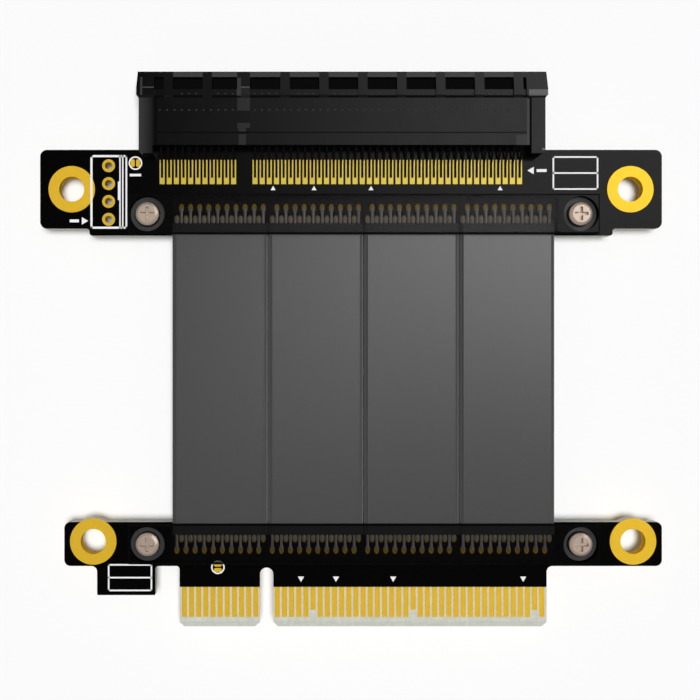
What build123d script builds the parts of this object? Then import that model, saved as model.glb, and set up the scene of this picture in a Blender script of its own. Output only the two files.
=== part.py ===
from build123d import *
import os

os.makedirs("parts", exist_ok=True)

# A card edge extension cable: a slot board and a card board, joined by four flat ribbons.
# X runs along the slot, Y points out of the slot's mouth, and Z points up from the surface
# that the cable lies on. The origin is on that surface, under the middle of the outline.

# Contacts, the same row on the card edge and in the slot
CONTACTS_LEFT = 11
CONTACTS_RIGHT = 38
PITCH = 1.0
KEY_STEP = 3.0  # from the last contact before the key to the first one after it
KEY_SLOT_W = 1.9
KEY_WEB_W = 1.75

# Places along X
SLOT_X = -1.43  # middle of the slot's contact row
CABLE_X = 1.69  # middle of the ribbons, the covers and the card board

# Depths along Y, from the slot's mouth to the tip of the card edge
MOUTH_OUT = 10.2  # slot's mouth beyond the slot board's edge
SLOT_BOARD_D = 12.01
RIBBON_SPAN = 40.07  # between the two boards' facing edges
CARD_BOARD_D = 14.67

# Slot board
BOARD_T = 1.57
SLOT_BOARD_END = 4.42  # mounting holes' middles from the board's ends
SLOT_EAR_D = 11.03
SLOT_MIDDLE_W = 73.2
SLOT_CORNER_R = 0.95
STEP_R = 0.4

# Card board
CARD_BOARD_END = 4.05  # mounting holes' middles from the board's ends
CARD_EAR_D = 6.16
CARD_CORNER_R = 0.87
CARD_INNER_R = 0.8
CARD_MOUNT_INSET = 2.72  # hole's middle from the board's cable edge
CARD_LAND_GAP = 1.91  # between the cover and the mounting lands
TONGUE_MARGIN = 0.68  # card edge beyond the outer contacts' middles
TONGUE_CORNER = 0.65
TIP_BEVEL_L = 0.8
TIP_BEVEL_H = 0.3
TAB_W = 8.14
TAB_GAP = 3.4  # between the tab and the card edge
TAB_D = 4.07
TAB_CORNER_R = 0.15
TAB_GAP_R = 0.45  # inner corners between the tab and the card edge
NOTCH_TOP = 0.22  # key notch's round end below the ears' edge

# Plated holes
MOUNT_HOLE_R = 1.75
MOUNT_LAND_R = 3.25
PLATING = 0.1
COPPER_T = 0.06
HEADER_HOLES = 4
HEADER_PITCH = 2.5
HEADER_GAP = 2.11  # between the cover and the header's lands
HEADER_LAND_GAP = 1.01  # between the header's lands and the mounting land
HEADER_INSET = 2.23  # first header hole from the slot edge of the board
HEADER_HOLE_R = 0.5
HEADER_LAND_R = 0.9

# Card edge fingers
FINGER_W = 0.74
FINGER_L = 4.2
FINGER_TIP = 1.39  # bare board between the fingers and the tip
FINGER_SHORT = 0.99  # what a late-making finger lacks

# Slot pads
PAD_W = 0.7
PAD_L = 3.4
PAD_INSET = 1.41  # from the board's edge

# Test pads, two halves of a round spot on each board
TEST_PAD_W = 0.55
TEST_PAD_L = 1.05
TEST_PAD_R = 0.2
TEST_PAD_GAP = 0.2
SLOT_TEST_OFF = 3.75  # from the header's line
SLOT_TEST_INSET = 1.86
CARD_TEST_OFF = 6.82  # from the key notch's middle
CARD_TEST_INSET = 6.33

# Slot housing
HOUSING_MARGIN = 2.9  # body's end beyond the outer contacts' middles
RIM_H = 8.6
RIM_SLOPE_L = 2.4
RIM_SLOPE_H = 0.45
RIM_SLOPE_END = 0.16  # the same slope on the rim's ends
RIM_FLAT_L = 0.85
RIM_BACK_L = 0.35
RIM_OVERHANG = 0.3  # rim beyond the body's ends
BODY_H = 8.0
BODY_CLEAR = 0.15  # between the body and the board's edge
POST_W = 1.9
POST_REACH = 1.0  # posts over the board's edge
POST_CHAMFER = 0.35
POST_GROOVE_W = 0.63
POST_GROOVE_D = 0.32
PANEL_R = 0.4  # corners of the raised panel between the posts
HEEL_L = 1.75  # lower strip along the body's back
HEEL_STEP = 0.15
HEEL_GROOVE_W = 0.3
HEEL_GROOVE_D = 0.3
KEY_STRIP_H = 0.12
LIP_L = 0.8  # rim in front of its windows
WINDOW_L = 1.65
WINDOW_FLOOR = 2.9  # windows' floor from the slot's middle plane
WINDOW_PITCH = 5.333
WINDOWS = 9
WINDOW_START = 1.82  # first window's edge from the first contact's middle
END_WINDOW_LEFT = 1.3
END_WINDOW_RIGHT = 0.45
RIB_W = 1.28
LEDGE_DROP = 0.35

# Card slot inside the housing
SLOT_SIDE_CLEAR = 0.12
SLOT_END_CLEAR = 0.15
SLOT_DEPTH = 8.2
LEAD_IN = 0.45
CELL_W = 0.6
CELL_ROOF = 2.4  # from the slot's middle plane
CELL_START = 0.75  # cells' front end behind the mouth

# Contacts in the slot
SPRING_W = 0.3
SPRING_T = 0.2
SPRING_TIP = 1.4  # front end behind the mouth
SPRING_TIP_Z = 1.55
SPRING_BOW = 2.8
SPRING_BOW_Z = 0.85
SPRING_SEAT = 5.4
SHOULDER = 0.25  # where the leg turns down, behind the housing
HEEL_TURN = 1.9  # where the foot meets its pad, from the board's edge
FOOT_L = 2.0

# Ribbons
RIBBONS = 4
CONDUCTORS = 20
WIRE_PITCH = 0.635
RIBBON_GAP = 0.1
RIBBON_T = 0.7
SELVAGE_W = 0.5
SELVAGE_T = 0.36
RIBBON_INSET = 1.68  # ribbon's end from the board's cable edge

# Soldered ends
WIRE_W = 0.4
WIRE_T = 0.24
SHORT_TAIL = 0.85
LONG_TAIL = 2.35
SOLDER_PAD_W = 0.64
SOLDER_PAD_L = 1.1
NEAR_PAD = 0.06  # pads' near edges from the ribbon's end
FAR_PAD = 1.62

# Covers and their screws
SCREW_SPREAD = 60.0
SCREW_INSET = 2.85
COVER_END = 2.6  # cover beyond the screws' middles
COVER_D = 5.5
COVER_H = 2.0
COVER_WALL = 0.7
COVER_EDGE = 0.2
COVER_CLEAR = 0.05
SEAT_T = 0.6  # cover under the washer
COUNTERBORE_R = 2.43
WASHER_R = 2.4
WASHER_T = 0.3
SCREW_R = 1.0
SCREW_CLEAR = 0.1
SCREW_L = 6.0
HEAD_R = 1.6
HEAD_H = 1.3
HEAD_EDGE = 0.4
CROSS_W = 0.42
CROSS_L = 1.9
CROSS_D = 0.75
NUT_FLATS = 4.0
NUT_H = 1.6

# Worked out: heights
seat_h = SEAT_T + WASHER_T
screw_reach = SCREW_L - seat_h - BOARD_T
UNDER_Z = max(screw_reach, (RIM_H - BOARD_T) / 2)
TOP_Z = UNDER_Z + BOARD_T
MID_Z = UNDER_Z + BOARD_T / 2
MID_PLANE = Plane.XY.offset(MID_Z)

# Worked out: places along Y
MOUTH_Y = (MOUTH_OUT + SLOT_BOARD_D + RIBBON_SPAN + CARD_BOARD_D) / 2
EDGE_Y = MOUTH_Y - MOUTH_OUT
SLOT_TAIL_Y = EDGE_Y - SLOT_BOARD_D
CARD_HEAD_Y = SLOT_TAIL_Y - RIBBON_SPAN
CARD_EAR_Y = CARD_HEAD_Y - CARD_EAR_D
TIP_Y = CARD_HEAD_Y - CARD_BOARD_D
slot_mount_y = EDGE_Y - SLOT_EAR_D / 2
card_mount_y = CARD_HEAD_Y - CARD_MOUNT_INSET
slot_cover_y = SLOT_TAIL_Y + SCREW_INSET
card_cover_y = CARD_HEAD_Y - SCREW_INSET
slot_solder_y = SLOT_TAIL_Y + RIBBON_INSET
card_solder_y = CARD_HEAD_Y - RIBBON_INSET

# Worked out: places along X, from the middle of the covers outwards
cover_half_w = SCREW_SPREAD / 2 + COVER_END
header_x = CABLE_X - cover_half_w - HEADER_GAP - HEADER_LAND_R
slot_mount_x = -header_x + HEADER_LAND_R + HEADER_LAND_GAP + MOUNT_LAND_R
card_mount_x = cover_half_w + CARD_LAND_GAP + MOUNT_LAND_R
SLOT_BOARD_W = 2 * (slot_mount_x + SLOT_BOARD_END)
CARD_BOARD_W = 2 * (card_mount_x + CARD_BOARD_END)

# Worked out: the contact row
ROW_L = PITCH * (CONTACTS_LEFT + CONTACTS_RIGHT - 2) + KEY_STEP
KEY_OFFSET = PITCH * (CONTACTS_LEFT - 1) + KEY_STEP / 2 - ROW_L / 2
TONGUE_W = ROW_L + 2 * TONGUE_MARGIN


def row_places(middle):
    """X of each contact in a row about this middle, a group on each side of the key."""
    left = [middle - ROW_L / 2 + PITCH * i for i in range(CONTACTS_LEFT)]
    right = [left[-1] + KEY_STEP + PITCH * i for i in range(CONTACTS_RIGHT)]
    return left + right


def pair(middle, spacing, y, z=0.0):
    """Two places side by side along X."""
    return [(middle - spacing / 2, y, z), (middle + spacing / 2, y, z)]


slot_mounts = pair(0, 2 * slot_mount_x, slot_mount_y)
card_mounts = pair(CABLE_X, 2 * card_mount_x, card_mount_y)
slot_screw_places = pair(CABLE_X, SCREW_SPREAD, slot_cover_y)
card_screw_places = pair(CABLE_X, SCREW_SPREAD, card_cover_y)
header_places = [
    (header_x, EDGE_Y - HEADER_INSET - HEADER_PITCH * i) for i in range(HEADER_HOLES)
]

# Slot board: wide ears above a narrower strip, with plated mounting and header holes
with BuildPart() as slot_board:
    with BuildSketch(Plane.XY.offset(UNDER_Z)) as slot_outline:
        with Locations((0, EDGE_Y)):
            Rectangle(SLOT_BOARD_W, SLOT_EAR_D, align=(Align.CENTER, Align.MAX))
            Rectangle(SLOT_MIDDLE_W, SLOT_BOARD_D, align=(Align.CENTER, Align.MAX))
        ends = slot_outline.vertices().filter_by_position(
            Axis.X, -SLOT_MIDDLE_W / 2 - STEP_R, SLOT_MIDDLE_W / 2 + STEP_R
        )
        fillet(ends, STEP_R)
        corners = slot_outline.vertices().group_by(Axis.X)
        fillet(corners[0] + corners[-1], SLOT_CORNER_R)
        with Locations(*[p[:2] for p in slot_mounts]):
            Circle(MOUNT_HOLE_R + PLATING, mode=Mode.SUBTRACT)
        with Locations(*header_places):
            Circle(HEADER_HOLE_R + PLATING, mode=Mode.SUBTRACT)
        with Locations(*[p[:2] for p in slot_screw_places]):
            Circle(SCREW_R + SCREW_CLEAR, mode=Mode.SUBTRACT)
    extrude(amount=BOARD_T)



def corners_at(outline, y):
    """The corners of a board's outline at this height on its plan."""
    return outline.vertices().filter_by_position(Axis.Y, y - 0.01, y + 0.01)


# Card board: a strip with ears, a tab, and the card edge with its key notch
tongue_left = CABLE_X - TONGUE_W / 2
notch_x = CABLE_X + KEY_OFFSET
with BuildPart() as card_board:
    with BuildSketch(Plane.XY.offset(UNDER_Z)) as card_outline:
        with Locations((CABLE_X, CARD_HEAD_Y)):
            Rectangle(CARD_BOARD_W, CARD_EAR_D, align=(Align.CENTER, Align.MAX))
            Rectangle(TONGUE_W, CARD_BOARD_D, align=(Align.CENTER, Align.MAX))
        with Locations((tongue_left - TAB_GAP, CARD_EAR_Y)):
            Rectangle(TAB_W, TAB_D, align=(Align.MAX, Align.MAX))
        with Locations((notch_x, TIP_Y)):
            Rectangle(
                KEY_SLOT_W,
                CARD_EAR_Y - NOTCH_TOP - KEY_SLOT_W / 2 - TIP_Y,
                align=(Align.CENTER, Align.MIN),
                mode=Mode.SUBTRACT,
            )
        chamfer(card_outline.vertices().group_by(Axis.Y)[0], TONGUE_CORNER)
        tab_tip_y = CARD_EAR_Y - TAB_D
        fillet(corners_at(card_outline, tab_tip_y), TAB_CORNER_R)
        ears = card_outline.vertices().group_by(Axis.X)
        fillet(ears[0] + ears[-1], CARD_CORNER_R)
        inner = corners_at(card_outline, CARD_EAR_Y).filter_by_position(
            Axis.X, card_outline.vertices().sort_by(Axis.X)[0].X + CARD_CORNER_R, tongue_left + TONGUE_W
        )
        beside_tab = inner.filter_by_position(
            Axis.X, tongue_left - TAB_GAP - TAB_CORNER_R, tongue_left + TAB_CORNER_R
        )
        fillet(beside_tab, TAB_GAP_R)
        inner = corners_at(card_outline, CARD_EAR_Y).filter_by_position(
            Axis.X, tongue_left - TAB_GAP - TAB_W - TAB_CORNER_R, tongue_left + TONGUE_W
        )
        outer_two = inner.sort_by(Axis.X)
        fillet([outer_two[0], outer_two[-1]], CARD_INNER_R)
        with Locations((notch_x, CARD_EAR_Y - NOTCH_TOP - KEY_SLOT_W / 2)):
            Circle(KEY_SLOT_W / 2, mode=Mode.SUBTRACT)
        with Locations(*[p[:2] for p in card_mounts]):
            Circle(MOUNT_LAND_R)
            Circle(MOUNT_HOLE_R + PLATING, mode=Mode.SUBTRACT)
        with Locations(*[p[:2] for p in card_screw_places]):
            Circle(SCREW_R + SCREW_CLEAR, mode=Mode.SUBTRACT)
    extrude(amount=BOARD_T)
    # the tip is bevelled above and below, so that it finds its way into a slot
    with BuildSketch(Plane.YZ.offset(tongue_left - TONGUE_MARGIN)):
        for z, way in ((TOP_Z, -1), (UNDER_Z, 1)):
            with BuildLine():
                Polyline(
                    (TIP_Y, z + way * TIP_BEVEL_H),
                    (TIP_Y, z),
                    (TIP_Y + TIP_BEVEL_L, z),
                    close=True,
                )
            make_face()
    extrude(amount=TONGUE_W + 2 * TONGUE_MARGIN, mode=Mode.SUBTRACT)


def strips(places, width, length, thickness):
    """Flat strips of one size, each from the middle of its upper end."""
    with Locations(*places):
        Box(width, length, thickness, align=(Align.CENTER, Align.MAX, Align.MIN))


def fingers(z, short):
    """The card edge's fingers at this height; those with a number in the list end early."""
    places = [(x, finger_top_y, z) for x in card_row]
    late = [places[number - 1] for number in short]
    strips([p for p in places if p not in late], FINGER_W, FINGER_L, COPPER_T)
    strips(late, FINGER_W, FINGER_L - FINGER_SHORT, COPPER_T)


def plated_hole(land_r, hole_r):
    """A land on each face of the board with a plated barrel between them."""
    for z in (UNDER_Z - COPPER_T, TOP_Z):
        with Locations((0, 0, z)):
            Cylinder(land_r, COPPER_T, align=(Align.CENTER, Align.CENTER, Align.MIN))
    with Locations((0, 0, UNDER_Z)):
        Cylinder(hole_r + PLATING, BOARD_T, align=(Align.CENTER, Align.CENTER, Align.MIN))
    with Locations((0, 0, UNDER_Z + BOARD_T / 2)):
        Cylinder(hole_r, 2 * BOARD_T, mode=Mode.SUBTRACT)


slot_row = row_places(SLOT_X)
card_row = row_places(CABLE_X)
finger_top_y = TIP_Y + FINGER_TIP + FINGER_L
pad_top_y = EDGE_Y - PAD_INSET

with BuildPart() as slot_pads_front:
    strips([(x, pad_top_y, TOP_Z) for x in slot_row], PAD_W, PAD_L, COPPER_T)

with BuildPart() as slot_pads_back:
    strips([(x, pad_top_y, UNDER_Z - COPPER_T) for x in slot_row], PAD_W, PAD_L, COPPER_T)

with BuildPart() as edge_fingers_front:
    fingers(TOP_Z, short=(17, 31, 48))

with BuildPart() as edge_fingers_back:
    fingers(UNDER_Z - COPPER_T, short=(1,))

with BuildPart() as one_mount_land:
    plated_hole(MOUNT_LAND_R, MOUNT_HOLE_R)

with BuildPart() as one_header_land:
    plated_hole(HEADER_LAND_R, HEADER_HOLE_R)

with BuildPart() as slot_board_mount_lands:
    with Locations(*slot_mounts):
        add(one_mount_land.part)

with BuildPart() as card_board_mount_lands:
    with Locations(*card_mounts):
        add(one_mount_land.part)

with BuildPart() as header_lands:
    with Locations(*[(x, y, 0) for x, y in header_places]):
        add(one_header_land.part)

# Test pads: the two halves lie side by side on the slot board, one above the other on the card board
with BuildPart() as test_pads:
    step = (TEST_PAD_W + TEST_PAD_GAP) / 2
    for side in (-1, 1):
        card_spot_y = CARD_HEAD_Y - CARD_TEST_INSET + side * step
        with BuildSketch(Plane.XY.offset(TOP_Z)):
            with Locations((header_x + SLOT_TEST_OFF + side * step, EDGE_Y - SLOT_TEST_INSET)):
                RectangleRounded(TEST_PAD_W, TEST_PAD_L, TEST_PAD_R)
            with Locations((notch_x - CARD_TEST_OFF, card_spot_y)):
                RectangleRounded(TEST_PAD_L, TEST_PAD_W, TEST_PAD_R)
        extrude(amount=COPPER_T)

# Slot housing
HOUSING_W = ROW_L + 2 * HOUSING_MARGIN
body_back = MOUTH_OUT - BODY_CLEAR
rim_l = RIM_SLOPE_L + RIM_FLAT_L + RIM_BACK_L


def behind_mouth(depth):
    """A plane across the slot, this far behind its mouth, that faces the board."""
    return Plane(origin=(SLOT_X, MOUTH_Y - depth, MID_Z), x_dir=(1, 0, 0), z_dir=(0, -1, 0))


def span(x_from, x_to, y_from, y_to):
    """A rectangle between two corners."""
    with Locations(((x_from + x_to) / 2, (y_from + y_to) / 2)):
        Rectangle(abs(x_to - x_from), abs(y_to - y_from))


rib_places = [
    slot_row[0] + WINDOW_START - RIB_W / 2 + WINDOW_PITCH * i for i in range(WINDOWS + 1)
]
ribs = [(x - RIB_W / 2, x + RIB_W / 2) for x in rib_places]
key_x = SLOT_X + KEY_OFFSET
key_rib = (key_x - KEY_WEB_W / 2, key_x + KEY_WEB_W / 2)
nearest = min(range(len(ribs)), key=lambda i: abs(rib_places[i] - key_x))
ribs[nearest] = key_rib
windows = [(left[1], right[0]) for left, right in zip(ribs, ribs[1:])]
windows += [
    (ribs[0][0] - END_WINDOW_LEFT, ribs[0][0]),
    (ribs[-1][1], ribs[-1][1] + END_WINDOW_RIGHT),
]
window_front_y = MOUTH_Y - LIP_L
window_back_y = window_front_y - WINDOW_L
panel_back_y = MOUTH_Y - body_back + HEEL_L

with BuildPart() as slot_housing:
    # the rim swells from the mouth, runs flat and falls back to the body
    rim_w = HOUSING_W + 2 * RIM_OVERHANG
    with BuildSketch(behind_mouth(0)):
        Rectangle(rim_w - 2 * RIM_SLOPE_END, RIM_H - 2 * RIM_SLOPE_H)
    with BuildSketch(behind_mouth(RIM_SLOPE_L)):
        Rectangle(rim_w, RIM_H)
    loft()
    with BuildSketch(behind_mouth(RIM_SLOPE_L)):
        Rectangle(rim_w, RIM_H)
    extrude(amount=RIM_FLAT_L)
    with BuildSketch(behind_mouth(RIM_SLOPE_L + RIM_FLAT_L)):
        Rectangle(rim_w, RIM_H)
    with BuildSketch(behind_mouth(rim_l)):
        Rectangle(HOUSING_W, BODY_H)
    loft()
    # body, and posts at its ends that straddle the board
    with BuildSketch(behind_mouth(rim_l)):
        Rectangle(HOUSING_W, BODY_H)
    extrude(amount=body_back - rim_l)
    post_back_y = EDGE_Y - POST_REACH
    for end in (-1, 1):
        outer = SLOT_X + end * HOUSING_W / 2
        inner_x = outer - end * POST_W
        with BuildSketch(Plane.XY.offset(MID_Z - BODY_H / 2)):
            with BuildLine():
                Polyline(
                    (inner_x, MOUTH_Y - body_back),
                    (outer, MOUTH_Y - body_back),
                    (outer, post_back_y + POST_CHAMFER),
                    (outer - end * POST_CHAMFER, post_back_y),
                    (inner_x, post_back_y),
                    close=True,
                )
            make_face()
        extrude(amount=BODY_H)
    with BuildSketch(behind_mouth(body_back)):
        Rectangle(HOUSING_W, BOARD_T)
    extrude(amount=BODY_CLEAR + POST_REACH, mode=Mode.SUBTRACT)
    for side in (1, -1):
        top = Plane.XY.offset(MID_Z + side * BODY_H / 2)
        # a strip over the key stands a little proud
        with BuildSketch(top):
            span(*key_rib, MOUTH_Y - rim_l, panel_back_y)
        extrude(amount=side * KEY_STRIP_H)
        # the heel strip lies lower, behind a fine groove
        with BuildSketch(top):
            span(
                SLOT_X - HOUSING_W / 2 + POST_W,
                SLOT_X + HOUSING_W / 2 - POST_W,
                MOUTH_Y - body_back,
                panel_back_y,
            )
        extrude(amount=-side * HEEL_STEP, mode=Mode.SUBTRACT)
        with BuildSketch(top):
            span(
                SLOT_X - HOUSING_W / 2 + POST_W + POST_GROOVE_W,
                SLOT_X + HOUSING_W / 2 - POST_W - POST_GROOVE_W,
                panel_back_y,
                panel_back_y - HEEL_GROOVE_W,
            )
        extrude(amount=-side * HEEL_GROOVE_D, mode=Mode.SUBTRACT)
        # beside each post the panel falls away in a slope
        for end in (-1, 1):
            slope_foot = end * (HOUSING_W / 2 - POST_W)
            slope_head = slope_foot - end * POST_GROOVE_W
            with BuildSketch(behind_mouth(rim_l)):
                with BuildLine():
                    Polyline(
                        (slope_head, side * (BODY_H / 2 - HEEL_STEP)),
                        (slope_foot, side * (BODY_H / 2 - POST_GROOVE_D)),
                        (slope_foot, side * RIM_H / 2),
                        (slope_head, side * RIM_H / 2),
                        close=True,
                    )
                make_face()
            extrude(amount=body_back - rim_l, mode=Mode.SUBTRACT)
        # windows in the rim, each with a lower ledge behind it
        with BuildSketch(Plane.XY.offset(MID_Z + side * WINDOW_FLOOR)):
            for left, right in windows:
                span(left, right, window_front_y, window_back_y)
        extrude(amount=side * RIM_H, mode=Mode.SUBTRACT)
        with BuildSketch(Plane.XY.offset(MID_Z + side * (RIM_H / 2 - LEDGE_DROP))):
            for left, right in windows:
                span(left, right, window_back_y, MOUTH_Y - rim_l)
        extrude(amount=side * RIM_H, mode=Mode.SUBTRACT)
    # the card slot, in two halves with the key's web between them
    slot_half_w = TONGUE_W / 2 + SLOT_END_CLEAR
    slot_half_h = BOARD_T / 2 + SLOT_SIDE_CLEAR
    web = (KEY_OFFSET - KEY_WEB_W / 2, KEY_OFFSET + KEY_WEB_W / 2)
    with BuildSketch(behind_mouth(0)):
        span(-slot_half_w, web[0], -slot_half_h, slot_half_h)
        span(web[1], slot_half_w, -slot_half_h, slot_half_h)
    extrude(amount=SLOT_DEPTH, mode=Mode.SUBTRACT)
    for left, right in ((-slot_half_w, web[0]), (web[1], slot_half_w)):
        with BuildSketch(behind_mouth(0)):
            span(
                left - LEAD_IN * (left == -slot_half_w),
                right + LEAD_IN * (right == slot_half_w),
                -slot_half_h - LEAD_IN,
                slot_half_h + LEAD_IN,
            )
        with BuildSketch(behind_mouth(LEAD_IN)):
            span(left, right, -slot_half_h, slot_half_h)
        loft(mode=Mode.SUBTRACT)
    # a cell for each contact, above and below the slot, open at the back
    with BuildSketch(behind_mouth(CELL_START)):
        for x in slot_row:
            for side in (1, -1):
                span(
                    x - SLOT_X - CELL_W / 2,
                    x - SLOT_X + CELL_W / 2,
                    side * BOARD_T / 2,
                    side * CELL_ROOF,
                )
    extrude(amount=body_back - CELL_START, mode=Mode.SUBTRACT)

# Slot contacts: a bowed spring that lies along the cell's roof and ends in a gull-wing foot
foot_z = TOP_Z + COPPER_T
roof_z = MID_Z + CELL_ROOF - SPRING_T
shoulder_y = MOUTH_Y - body_back - SHOULDER
heel_y = EDGE_Y - HEEL_TURN
with BuildPart() as one_contact:
    with BuildSketch(Plane.YZ.offset(-SPRING_W / 2)):
        with BuildLine():
            Polyline(
                (MOUTH_Y - SPRING_TIP, MID_Z + SPRING_TIP_Z),
                (MOUTH_Y - SPRING_BOW, MID_Z + SPRING_BOW_Z),
                (MOUTH_Y - SPRING_SEAT, roof_z),
                (shoulder_y, roof_z),
                (heel_y, foot_z),
                (heel_y - FOOT_L, foot_z),
            )
            offset(amount=SPRING_T, kind=Kind.INTERSECTION, side=Side.RIGHT)
        make_face()
    extrude(amount=SPRING_W)

with BuildPart() as slot_contacts_front:
    with Locations(*[(x, 0, 0) for x in slot_row]):
        add(one_contact.part)

with BuildPart() as slot_contacts_back:
    mirror(slot_contacts_front.part, about=MID_PLANE)

# Ribbons, and the wires that are stripped back from them
ribbon_pitch = WIRE_PITCH * (CONDUCTORS + 1)
ribbon_w = ribbon_pitch - RIBBON_GAP
ribbon_l = slot_solder_y - card_solder_y
ribbon_places = [
    CABLE_X + ribbon_pitch * (i - (RIBBONS - 1) / 2) for i in range(RIBBONS)
]
ribbons = []
for x in ribbon_places:
    with BuildPart() as ribbon:
        section = Plane(
            origin=(x, slot_solder_y, TOP_Z + RIBBON_T / 2),
            x_dir=(1, 0, 0),
            z_dir=(0, -1, 0),
        )
        with BuildSketch(section):
            Rectangle(ribbon_w - 2 * SELVAGE_W, RIBBON_T)
            Rectangle(ribbon_w, SELVAGE_T)
        extrude(amount=ribbon_l)
    ribbons.append(ribbon)

wire_places = [
    [
        x + WIRE_PITCH * (number - (CONDUCTORS + 1) / 2)
        for x in ribbon_places
        for number in range(first, CONDUCTORS + 1, 2)
    ]
    for first in (1, 2)
]
odd_wires, even_wires = wire_places


def two_rows(near, far, width, near_run, far_run, start_y, way, z, thickness):
    """Strips in two rows beyond the ribbons' end, each run given by its two ends."""
    for row, (start, stop) in ((near, near_run), (far, far_run)):
        upper_y = start_y + (stop if way > 0 else -start)
        strips([(x, upper_y, z) for x in row], width, stop - start, thickness)


near_pad = (NEAR_PAD, NEAR_PAD + SOLDER_PAD_L)
far_pad = (FAR_PAD, FAR_PAD + SOLDER_PAD_L)
slot_end = (slot_solder_y, 1)
card_end = (card_solder_y, -1)
wire_z = TOP_Z + COPPER_T

with BuildPart() as slot_board_solder_pads:
    two_rows(odd_wires, even_wires, SOLDER_PAD_W, near_pad, far_pad, *slot_end, TOP_Z, COPPER_T)

with BuildPart() as card_board_solder_pads:
    two_rows(even_wires, odd_wires, SOLDER_PAD_W, near_pad, far_pad, *card_end, TOP_Z, COPPER_T)

with BuildPart() as slot_end_wires:
    two_rows(odd_wires, even_wires, WIRE_W, (0, SHORT_TAIL), (0, LONG_TAIL), *slot_end, wire_z, WIRE_T)

with BuildPart() as card_end_wires:
    two_rows(even_wires, odd_wires, WIRE_W, (0, SHORT_TAIL), (0, LONG_TAIL), *card_end, wire_z, WIRE_T)


def clear_cover(y, way):
    """A clear bar with a pocket for the ribbons below, open to the side they leave by."""
    with BuildPart() as bar:
        with BuildSketch(Plane.XY.offset(TOP_Z)):
            with Locations((CABLE_X, y)):
                Rectangle(SCREW_SPREAD + 2 * COVER_END, COVER_D)
        extrude(amount=COVER_H)
        chamfer(faces().sort_by(Axis.Z)[-1].edges(), COVER_EDGE)
        pocket_w = ribbon_pitch * RIBBONS + 2 * COVER_CLEAR
        with BuildSketch(Plane.XY.offset(TOP_Z)):
            with Locations((CABLE_X, y - way * COVER_WALL / 2)):
                Rectangle(pocket_w, COVER_D - COVER_WALL)
        extrude(amount=RIBBON_T + COVER_CLEAR, mode=Mode.SUBTRACT)
        with Locations(*pair(CABLE_X, SCREW_SPREAD, y, TOP_Z + COVER_H)):
            CounterBoreHole(SCREW_R + SCREW_CLEAR, COUNTERBORE_R, COVER_H - SEAT_T)
    return bar


def at_height(places, z):
    """The same places at this height."""
    return [(x, y, z) for x, y, _ in places]


def washers(places):
    """Plain washers on the floors of the counterbores."""
    with Locations(*at_height(places, TOP_Z + SEAT_T)):
        Cylinder(WASHER_R, WASHER_T, align=(Align.CENTER, Align.CENTER, Align.MIN))
        Hole(SCREW_R + SCREW_CLEAR)


with BuildPart() as one_screw:
    with Locations((0, 0, TOP_Z + seat_h)):
        Cylinder(HEAD_R, HEAD_H, align=(Align.CENTER, Align.CENTER, Align.MIN))
        chamfer(edges().group_by(Axis.Z)[-1], HEAD_EDGE)
        Cylinder(SCREW_R, SCREW_L, align=(Align.CENTER, Align.CENTER, Align.MAX))
    with BuildSketch(Plane.XY.offset(TOP_Z + seat_h + HEAD_H)):
        Rectangle(CROSS_L, CROSS_W)
        Rectangle(CROSS_W, CROSS_L)
    extrude(amount=-CROSS_D, mode=Mode.SUBTRACT)

with BuildPart() as one_nut:
    with BuildSketch(Plane.XY.offset(UNDER_Z - NUT_H)):
        RegularPolygon(NUT_FLATS / 2, 6, major_radius=False)
        Circle(SCREW_R, mode=Mode.SUBTRACT)
    extrude(amount=NUT_H)

slot_cover = clear_cover(slot_cover_y, 1)
card_cover = clear_cover(card_cover_y, -1)

with BuildPart() as slot_washers:
    washers(slot_screw_places)

with BuildPart() as card_washers:
    washers(card_screw_places)

with BuildPart() as slot_screws:
    with Locations(*slot_screw_places):
        add(one_screw.part)

with BuildPart() as card_screws:
    with Locations(*card_screw_places):
        add(one_screw.part)

with BuildPart() as slot_nuts:
    with Locations(*slot_screw_places):
        add(one_nut.part)

with BuildPart() as card_nuts:
    with Locations(*card_screw_places):
        add(one_nut.part)

pieces = {
    "slot_housing": slot_housing,
    "slot_contacts_front": slot_contacts_front,
    "slot_contacts_back": slot_contacts_back,
    "slot_board": slot_board,
    "card_board": card_board,
    "slot_pads_front": slot_pads_front,
    "slot_pads_back": slot_pads_back,
    "edge_fingers_front": edge_fingers_front,
    "edge_fingers_back": edge_fingers_back,
    "slot_board_solder_pads": slot_board_solder_pads,
    "card_board_solder_pads": card_board_solder_pads,
    "slot_board_mount_lands": slot_board_mount_lands,
    "card_board_mount_lands": card_board_mount_lands,
    "header_lands": header_lands,
    "test_pads": test_pads,
    "slot_end_wires": slot_end_wires,
    "card_end_wires": card_end_wires,
    "slot_cover": slot_cover,
    "card_cover": card_cover,
    "slot_washers": slot_washers,
    "card_washers": card_washers,
    "slot_screws": slot_screws,
    "card_screws": card_screws,
    "slot_nuts": slot_nuts,
    "card_nuts": card_nuts,
}
for number, ribbon in enumerate(ribbons, 1):
    pieces[f"ribbon_{number}"] = ribbon

for name, piece in pieces.items():
    piece.part.label = name
    export_step(piece.part, f"parts/{name}.step")
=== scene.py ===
# %% [markdown]
# # A card edge extension cable
# A server or small computer sometimes needs its add-on card a few centimetres away from the slot.
# This cable does that: one board carries gold fingers that go into the slot, four flat ribbons
# carry the signals, and a second board holds a new slot for the card. The solid pieces come ready
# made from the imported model. This lesson gives each of them its finish, and models the fine
# things that a maker prints, solders or cuts: white ink, rounded pads, solder and screw threads.

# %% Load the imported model
import math

import bmesh
import bpy
from mathutils import Matrix, Vector


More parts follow.
